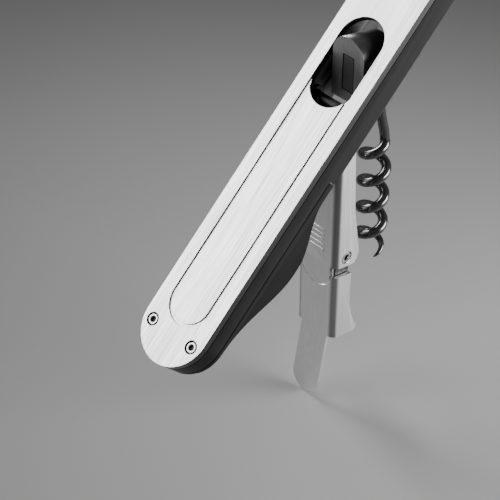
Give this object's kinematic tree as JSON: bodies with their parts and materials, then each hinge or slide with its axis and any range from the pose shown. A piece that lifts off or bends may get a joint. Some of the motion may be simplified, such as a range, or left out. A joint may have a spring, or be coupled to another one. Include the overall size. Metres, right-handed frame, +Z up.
{
  "type": "lever corkscrew",
  "caption": "Two-stage lever corkscrew: steel-topped handle with a thumb slot, folding worm and folding jointed lever.",
  "frame": {"origin": "the sharp tip of the worm, which stands in the cork and holds the tool up in this pose", "axes": "+Z up along the worm's axis, +X towards the handle's far end, Y across the handle along all hinge axes"},
  "size_m": [0.1098, 0.02, 0.1369],
  "materials": {
    "brushed_steel_top": "brushed lengthwise, satin",
    "black_polymer": "fine matte moulding",
    "stainless_sheet": "satin, fine grain",
    "dark_metal": "satin dark coating",
    "black_coated_wire": "gloss non-stick coating",
    "pin_steel": "turned, bright",
    "spring_steel": "blued spring steel",
    "nylon": "natural nylon"
  },
  "bodies": {
    "handle": {"top_plate": "brushed_steel_top", "plate_screw_1": "pin_steel", "plate_screw_2": "pin_steel", "plate_screw_3": "pin_steel", "plate_screw_4": "pin_steel", "rail": "black_polymer", "far_cover": "stainless_sheet", "cover_rivet_1": "pin_steel", "cover_rivet_2": "pin_steel", "guard_shell": "black_polymer", "guard_screw_left": "pin_steel", "guard_screw_right": "pin_steel", "chassis": "stainless_sheet", "lever_pin": "pin_steel", "worm_pin": "pin_steel", "worm_washer_left": "nylon", "worm_washer_right": "nylon", "detent_spring": "spring_steel", "spring_rivet": "pin_steel"},
    "lever_upper_stage": {"lever_upper": "stainless_sheet", "hinge_rivet_left": "pin_steel", "hinge_rivet_right": "pin_steel"},
    "lever_lower_stage": {"lever_lower": "stainless_sheet"},
    "worm_arm": {"worm_block": "dark_metal", "badge": "dark_metal", "grub_screw": "pin_steel", "worm_bush": "nylon", "worm": "black_coated_wire"}
  },
  "joints": [
    {"name": "worm_pivot", "type": "hinge", "parent": "handle", "child": "worm_arm", "pos_m": [-0.0069, 0, 0.062], "axis": [0, 1, 0], "range_deg": [-42.2, 47.8]},
    {"name": "lever_pivot", "type": "hinge", "parent": "handle", "child": "lever_upper_stage", "pos_m": [-0.01593, 0, 0.05334], "axis": [0, 1, 0], "range_deg": [-36.9, 41.8]},
    {"name": "lever_hinge", "type": "hinge", "parent": "lever_upper_stage", "child": "lever_lower_stage", "pos_m": [-0.01572, 0, 0.01014], "axis": [0, -1, 0], "range_deg": [0, 55]}
  ],
  "couplings": [
    {"joint": "lever_pivot", "follows": "worm_pivot", "ratio": 0.8724}
  ]
}
